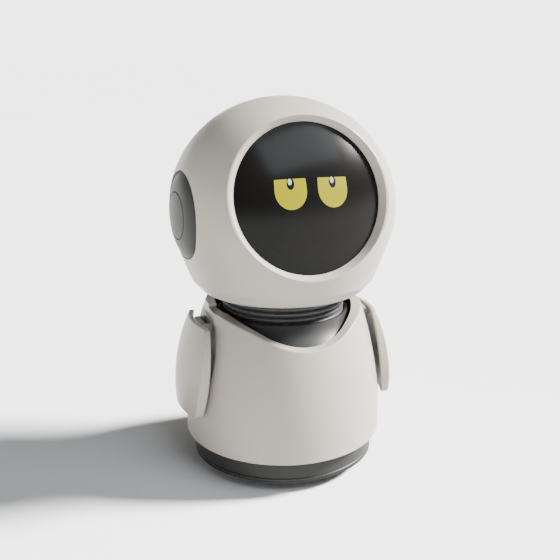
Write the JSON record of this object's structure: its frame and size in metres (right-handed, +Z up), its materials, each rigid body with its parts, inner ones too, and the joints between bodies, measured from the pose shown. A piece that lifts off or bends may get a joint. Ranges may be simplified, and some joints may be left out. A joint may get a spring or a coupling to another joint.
{
  "type": "companion robot",
  "caption": "Desktop companion robot with a round body on hidden drive wheels, flipper arms, and a helmet head with a round face screen that turns and nods.",
  "frame": {"origin": "point of the floor under the body's round axis, where the wheels and casters touch z = 0", "axes": "+Z up along the body's axis, the face looks along -Y, the robot's own left is +X"},
  "size_m": [0.1542, 0.1464, 0.2556],
  "materials": {
    "shell": "satin warm white",
    "dark_plastic": "satin dark grey",
    "collar_gloss": "gloss dark grey",
    "rubber": "matt black",
    "lens": "gloss black, smoked",
    "steel": "bright",
    "inner_plastic": "plain",
    "motor_metal": "plain",
    "servo_plastic": "plain black",
    "board": "solder mask green"
  },
  "bodies": {
    "base": {"base_tray": "dark_plastic", "bottom_cover": "dark_plastic", "bottom_cover_screws": "steel", "left_drive_motor": "motor_metal", "right_drive_motor": "motor_metal", "left_motor_bracket": "inner_plastic", "right_motor_bracket": "inner_plastic", "front_caster_housing": "dark_plastic", "rear_caster_housing": "dark_plastic", "mid_plate": "inner_plastic", "chassis_posts": "inner_plastic", "neck_deck": "inner_plastic", "battery_pack": "servo_plastic", "main_board": "board", "board_standoffs": "inner_plastic", "pan_servo": "servo_plastic", "body_front_shell": "shell", "body_rear_cover": "shell", "rear_cover_screws": "steel", "charge_port": "steel", "speaker": "servo_plastic", "collar": "collar_gloss", "left_shoulder_bracket": "shell", "right_shoulder_bracket": "shell", "left_shoulder_pin": "steel", "right_shoulder_pin": "steel"},
    "left_wheel": {"left_axle": "steel", "left_wheel_hub": "inner_plastic", "left_tyre": "rubber"},
    "right_wheel": {"right_axle": "steel", "right_wheel_hub": "inner_plastic", "right_tyre": "rubber"},
    "front_caster": {"front_caster_ball": "steel"},
    "rear_caster": {"rear_caster_ball": "steel"},
    "neck": {"neck_turntable": "inner_plastic", "pan_shaft": "steel", "neck_yoke": "inner_plastic", "tilt_pin": "steel", "bellows": "rubber"},
    "head": {"head_shell": "shell", "head_rear_cover": "shell", "head_cover_screws": "steel", "face_lens": "lens", "display_panel": "servo_plastic", "display_board": "board", "left_ear_cap": "dark_plastic", "right_ear_cap": "dark_plastic", "head_frame": "inner_plastic", "tilt_servo": "servo_plastic"},
    "left_ear": {"left_ear_button": "dark_plastic"},
    "right_ear": {"right_ear_button": "dark_plastic"},
    "left_flipper": {"left_arm": "shell"},
    "right_flipper": {"right_arm": "shell"},
    "power_key": {"power_button": "dark_plastic"}
  },
  "joints": [
    {"name": "head_pan", "type": "hinge", "parent": "base", "child": "neck", "pos_m": [0, 0, 0.0966], "axis": [0, 0, 1], "range_deg": [-30, 30]},
    {"name": "head_tilt", "type": "hinge", "parent": "neck", "child": "head", "pos_m": [0, 0, 0.125], "axis": [1, 0, 0], "range_deg": [-5, 10], "deforming": ["bellows"]},
    {"name": "left_wheel_spin", "type": "hinge", "parent": "base", "child": "left_wheel", "pos_m": [0.04, 0, 0.017], "axis": [1, 0, 0], "continuous": true},
    {"name": "right_wheel_spin", "type": "hinge", "parent": "base", "child": "right_wheel", "pos_m": [-0.04, 0, 0.017], "axis": [1, 0, 0], "continuous": true},
    {"name": "front_caster_roll", "type": "hinge", "parent": "base", "child": "front_caster", "pos_m": [0, -0.046, 0.005], "axis": [1, 0, 0], "continuous": true},
    {"name": "rear_caster_roll", "type": "hinge", "parent": "base", "child": "rear_caster", "pos_m": [0, 0.046, 0.005], "axis": [1, 0, 0], "continuous": true},
    {"name": "left_ear_press", "type": "slide", "parent": "head", "child": "left_ear", "axis": [-0.9954, 0.0958, 0], "range_m": [0, 0.0012], "stiffness_N_per_m": 800, "springref_m": -0.001},
    {"name": "right_ear_press", "type": "slide", "parent": "head", "child": "right_ear", "axis": [0.9954, 0.0958, 0], "range_m": [0, 0.0012], "stiffness_N_per_m": 800, "springref_m": -0.001},
    {"name": "power_press", "type": "slide", "parent": "base", "child": "power_key", "axis": [0, -1, 0], "range_m": [0, 0.0007], "stiffness_N_per_m": 800, "springref_m": -0.001},
    {"name": "left_arm_lift", "type": "hinge", "parent": "base", "child": "left_flipper", "pos_m": [0.0595, 0, 0.103], "axis": [0, -1, 0], "range_deg": [0, 50]},
    {"name": "right_arm_lift", "type": "hinge", "parent": "base", "child": "right_flipper", "pos_m": [-0.0595, 0, 0.103], "axis": [0, 1, 0], "range_deg": [0, 50]}
  ]
}
